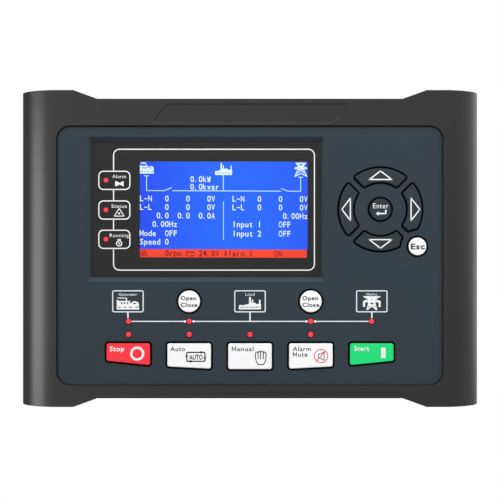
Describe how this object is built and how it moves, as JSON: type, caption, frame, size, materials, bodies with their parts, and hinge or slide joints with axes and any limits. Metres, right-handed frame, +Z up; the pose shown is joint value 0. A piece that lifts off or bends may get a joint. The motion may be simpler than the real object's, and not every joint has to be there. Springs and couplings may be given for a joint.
{
  "type": "genset controller",
  "caption": "Panel-mounted generator set controller: a rolled-edge bezel frames a fascia with a colour display, push keys and lights; a vented housing behind has terminals and clips.",
  "frame": {"origin": "centre of the bezel, on the plane where its rear rim meets the mounting panel", "axes": "+X right seen from the front, +Y into the panel, +Z up; the front faces -Y"},
  "size_m": [0.268, 0.045, 0.182],
  "materials": {
    "bezel_plastic": "fine-grained moulded",
    "seal_rubber": "matt",
    "fascia_plastic": "satin film",
    "window_acrylic": "smoked, clear over the display",
    "frame_steel": "bright",
    "display_picture": "lit display",
    "ribbon_film": "film",
    "connector_cream": "moulded",
    "mat_silicone": "matt",
    "key_red": "satin",
    "key_white": "satin",
    "key_green": "satin",
    "key_grey": "satin",
    "lens_red": "clear red",
    "chip_white": "moulded",
    "contact_gold": "plated",
    "board_green": "solder mask",
    "chip_black": "moulded",
    "cell_steel": "bright",
    "relay_blue": "moulded",
    "coil_dark": "moulded",
    "housing_plastic": "fine-grained moulded",
    "screw_steel": "zinc plated",
    "header_green": "moulded",
    "plug_green": "moulded",
    "port_steel": "bright",
    "clip_steel": "zinc plated"
  },
  "bodies": {
    "controller": {"front_bezel": "bezel_plastic", "panel_gasket": "seal_rubber", "fascia_panel": "fascia_plastic", "display_window": "window_acrylic", "display_gasket": "seal_rubber", "lcd_frame": "frame_steel", "lcd_glass": "display_picture", "lcd_ribbon": "ribbon_film", "lcd_connector": "connector_cream", "keypad_mat": "mat_silicone", "status_light_pipes": "lens_red", "alarm_light_pipes": "lens_red", "led_chips": "chip_white", "key_contacts": "contact_gold", "front_pcb": "board_green", "processor": "chip_black", "battery_holder": "chip_black", "clock_battery": "cell_steel", "board_socket": "chip_black", "board_header": "chip_black", "pcb_spacers": "contact_gold", "board_screws": "screw_steel", "io_pcb": "board_green", "output_relays": "relay_blue", "current_transformers": "coil_dark", "capacitors": "coil_dark", "rear_housing": "housing_plastic", "vent_cover": "housing_plastic", "housing_screws": "screw_steel", "top_header_1": "header_green", "top_header_2": "header_green", "low_header_1": "header_green", "low_header_2": "header_green", "low_header_3": "header_green", "top_plug_1": "plug_green", "top_plug_2": "plug_green", "low_plug_1": "plug_green", "low_plug_2": "plug_green", "low_plug_3": "plug_green", "terminal_screws": "screw_steel", "service_port": "port_steel", "fixing_clips": "clip_steel", "clip_screws": "screw_steel"},
    "stop_key_body": {"stop_key": "key_red"},
    "auto_key_body": {"auto_key": "key_white"},
    "manual_key_body": {"manual_key": "key_white"},
    "mute_key_body": {"mute_key": "key_white"},
    "start_key_body": {"start_key": "key_green"},
    "up_key_body": {"up_key": "key_grey"},
    "left_key_body": {"left_key": "key_grey"},
    "down_key_body": {"down_key": "key_grey"},
    "right_key_body": {"right_key": "key_grey"},
    "generator_breaker_key_body": {"generator_breaker_key": "key_white"},
    "mains_breaker_key_body": {"mains_breaker_key": "key_white"},
    "enter_key_body": {"enter_key": "key_grey"},
    "esc_key_body": {"esc_key": "key_white"}
  },
  "joints": [
    {"name": "stop_key_press", "type": "slide", "parent": "controller", "child": "stop_key_body", "axis": [0, 1, 0], "range_m": [0, 0.001], "stiffness_N_per_m": 800, "springref_m": -0.0004},
    {"name": "auto_key_press", "type": "slide", "parent": "controller", "child": "auto_key_body", "axis": [0, 1, 0], "range_m": [0, 0.001], "stiffness_N_per_m": 800, "springref_m": -0.0004},
    {"name": "manual_key_press", "type": "slide", "parent": "controller", "child": "manual_key_body", "axis": [0, 1, 0], "range_m": [0, 0.001], "stiffness_N_per_m": 800, "springref_m": -0.0004},
    {"name": "mute_key_press", "type": "slide", "parent": "controller", "child": "mute_key_body", "axis": [0, 1, 0], "range_m": [0, 0.001], "stiffness_N_per_m": 800, "springref_m": -0.0004},
    {"name": "start_key_press", "type": "slide", "parent": "controller", "child": "start_key_body", "axis": [0, 1, 0], "range_m": [0, 0.001], "stiffness_N_per_m": 800, "springref_m": -0.0004},
    {"name": "up_key_press", "type": "slide", "parent": "controller", "child": "up_key_body", "axis": [0, 1, 0], "range_m": [0, 0.001], "stiffness_N_per_m": 800, "springref_m": -0.0004},
    {"name": "left_key_press", "type": "slide", "parent": "controller", "child": "left_key_body", "axis": [0, 1, 0], "range_m": [0, 0.001], "stiffness_N_per_m": 800, "springref_m": -0.0004},
    {"name": "down_key_press", "type": "slide", "parent": "controller", "child": "down_key_body", "axis": [0, 1, 0], "range_m": [0, 0.001], "stiffness_N_per_m": 800, "springref_m": -0.0004},
    {"name": "right_key_press", "type": "slide", "parent": "controller", "child": "right_key_body", "axis": [0, 1, 0], "range_m": [0, 0.001], "stiffness_N_per_m": 800, "springref_m": -0.0004},
    {"name": "generator_breaker_key_press", "type": "slide", "parent": "controller", "child": "generator_breaker_key_body", "axis": [0, 1, 0], "range_m": [0, 0.001], "stiffness_N_per_m": 800, "springref_m": -0.0004},
    {"name": "mains_breaker_key_press", "type": "slide", "parent": "controller", "child": "mains_breaker_key_body", "axis": [0, 1, 0], "range_m": [0, 0.001], "stiffness_N_per_m": 800, "springref_m": -0.0004},
    {"name": "enter_key_press", "type": "slide", "parent": "controller", "child": "enter_key_body", "axis": [0, 1, 0], "range_m": [0, 0.001], "stiffness_N_per_m": 800, "springref_m": -0.0004},
    {"name": "esc_key_press", "type": "slide", "parent": "controller", "child": "esc_key_body", "axis": [0, 1, 0], "range_m": [0, 0.001], "stiffness_N_per_m": 800, "springref_m": -0.0004}
  ]
}
